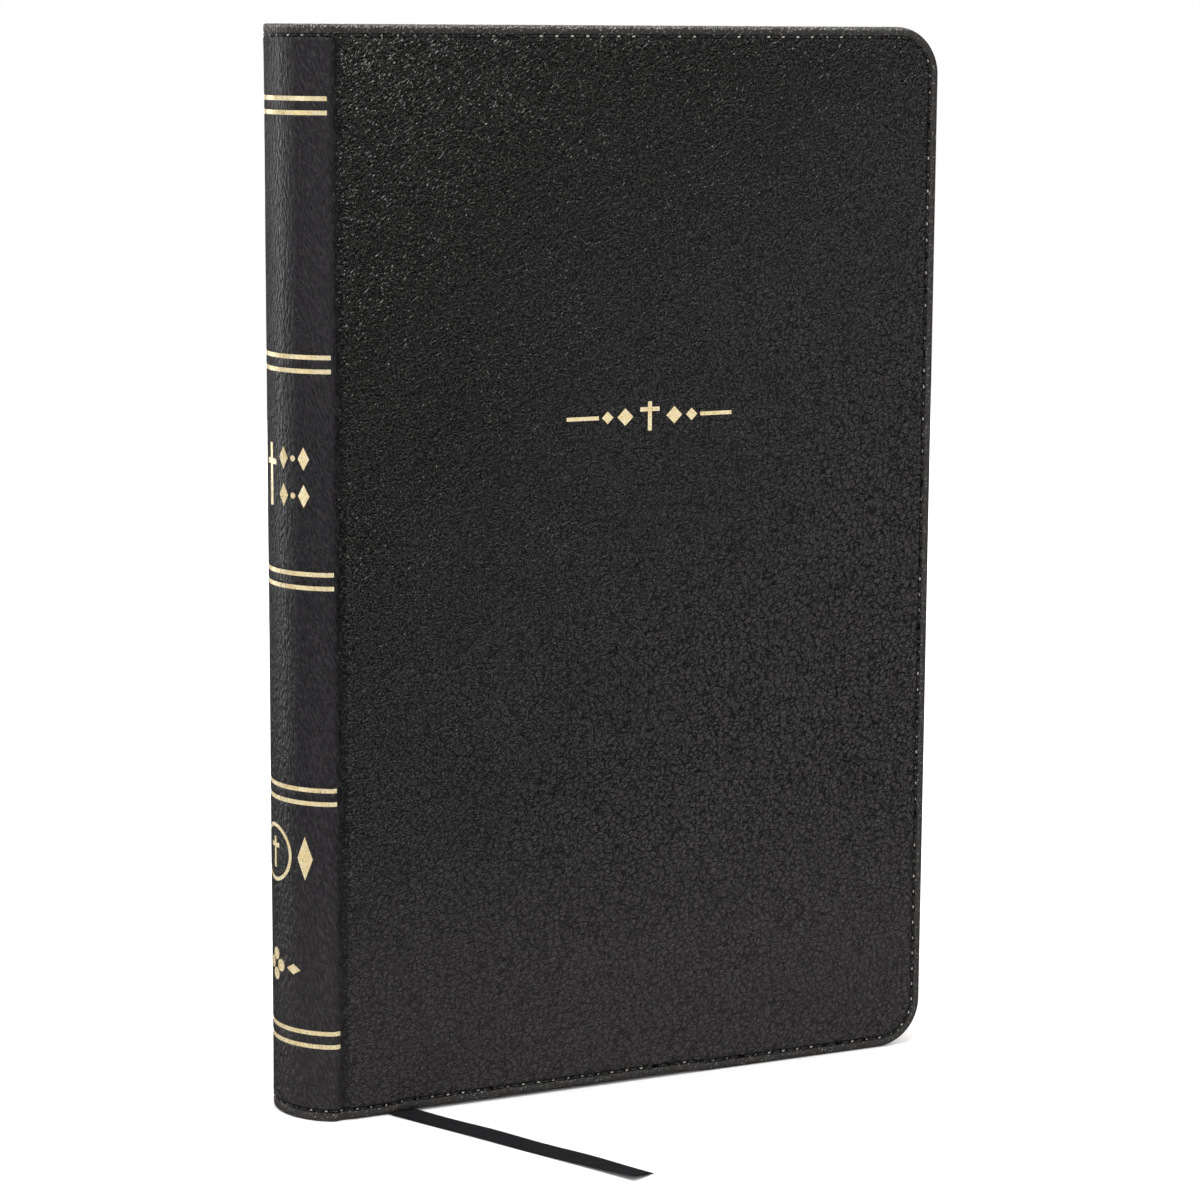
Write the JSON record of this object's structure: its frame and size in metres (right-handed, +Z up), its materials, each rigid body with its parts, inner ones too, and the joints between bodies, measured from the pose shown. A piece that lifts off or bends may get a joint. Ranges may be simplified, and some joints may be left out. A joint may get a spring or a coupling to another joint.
{
  "type": "bible",
  "caption": "Thinline bible in a soft black leather case with a round spine, gold-tooled rules, stitched edges, rounded corners and a ribbon marker.",
  "frame": {"origin": "middle of the closed book's tail edge, on the surface that it stands on, midway between the spine's back and the fore-edge and between the two covers", "axes": "+Z up along the book's height, +X from the spine to the fore-edge, +Y from the front cover to the back cover"},
  "size_m": [0.145, 0.0828, 0.22],
  "materials": {
    "case_leather": "semi-matte pebble grain",
    "thread": "dark waxed thread",
    "gold_foil": "pale gold stamping foil",
    "board": "grey-brown board",
    "liner": "black lining paper with a fine grain",
    "pages": "thin cream bible paper with gilt edges",
    "mull": "open cotton gauze",
    "headband_thread": "wound gold and black thread",
    "ribbon": "black satin"
  },
  "bodies": {
    "root": {"spine_leather": "case_leather", "spine_inlay": "board", "spine_rules": "gold_foil", "spine_title_ornament": "gold_foil", "spine_badge_ornament": "gold_foil", "spine_foot_ornament": "gold_foil", "spine_head_stitches": "thread", "spine_tail_stitches": "thread", "sewn_backbone": "pages", "sewing_thread": "mull", "mull_lining": "mull", "spine_paper_lining": "board", "headband": "headband_thread", "tailband": "headband_thread", "ribbon_marker": "ribbon", "ribbon_tail": "ribbon"},
    "front_leaves": {"section_01": "pages", "section_02": "pages", "section_03": "pages", "section_04": "pages", "section_05": "pages", "section_06": "pages", "section_07": "pages", "section_08": "pages", "section_09": "pages", "section_10": "pages", "section_11": "pages", "section_12": "pages", "front_joint_leather": "case_leather", "front_joint_stitches": "thread"},
    "front_flyleaf": {"front_flyleaf": "pages"},
    "front_cover": {"front_cover_leather": "case_leather", "front_board": "board", "front_pastedown": "liner", "front_cover_stitching": "thread", "front_title_ornament": "gold_foil"},
    "rear_leaves": {"section_13": "pages", "section_14": "pages", "section_15": "pages", "section_16": "pages", "section_17": "pages", "section_18": "pages", "section_19": "pages", "section_20": "pages", "section_21": "pages", "section_22": "pages", "section_23": "pages", "section_24": "pages", "rear_joint_leather": "case_leather", "rear_joint_stitches": "thread"},
    "rear_flyleaf": {"rear_flyleaf": "pages"},
    "back_cover": {"back_cover_leather": "case_leather", "back_board": "board", "rear_pastedown": "liner", "back_cover_stitching": "thread"}
  },
  "joints": [
    {"name": "front_leaves_hinge", "type": "hinge", "parent": "root", "child": "front_leaves", "pos_m": [-0.064, -0.0127, 0.11], "axis": [0, 0, -1], "range_deg": [0, 90]},
    {"name": "front_cover_hinge", "type": "hinge", "parent": "front_leaves", "child": "front_cover", "pos_m": [-0.057, -0.0127, 0.11], "axis": [0, 0, -1], "range_deg": [0, 95]},
    {"name": "front_flyleaf_hinge", "type": "hinge", "parent": "front_leaves", "child": "front_flyleaf", "pos_m": [-0.056, -0.01035, 0.11], "axis": [0, 0, -1], "range_deg": [0, 48]},
    {"name": "rear_leaves_hinge", "type": "hinge", "parent": "root", "child": "rear_leaves", "pos_m": [-0.064, 0.0127, 0.11], "axis": [0, 0, 1], "range_deg": [0, 90]},
    {"name": "back_cover_hinge", "type": "hinge", "parent": "rear_leaves", "child": "back_cover", "pos_m": [-0.057, 0.0127, 0.11], "axis": [0, 0, 1], "range_deg": [0, 95]},
    {"name": "rear_flyleaf_hinge", "type": "hinge", "parent": "rear_leaves", "child": "rear_flyleaf", "pos_m": [-0.056, 0.01035, 0.11], "axis": [0, 0, 1], "range_deg": [0, 48]}
  ],
  "couplings": [
    {"joint": "front_flyleaf_hinge", "follows": "front_cover_hinge", "ratio": 0.5},
    {"joint": "rear_flyleaf_hinge", "follows": "back_cover_hinge", "ratio": 0.5}
  ]
}
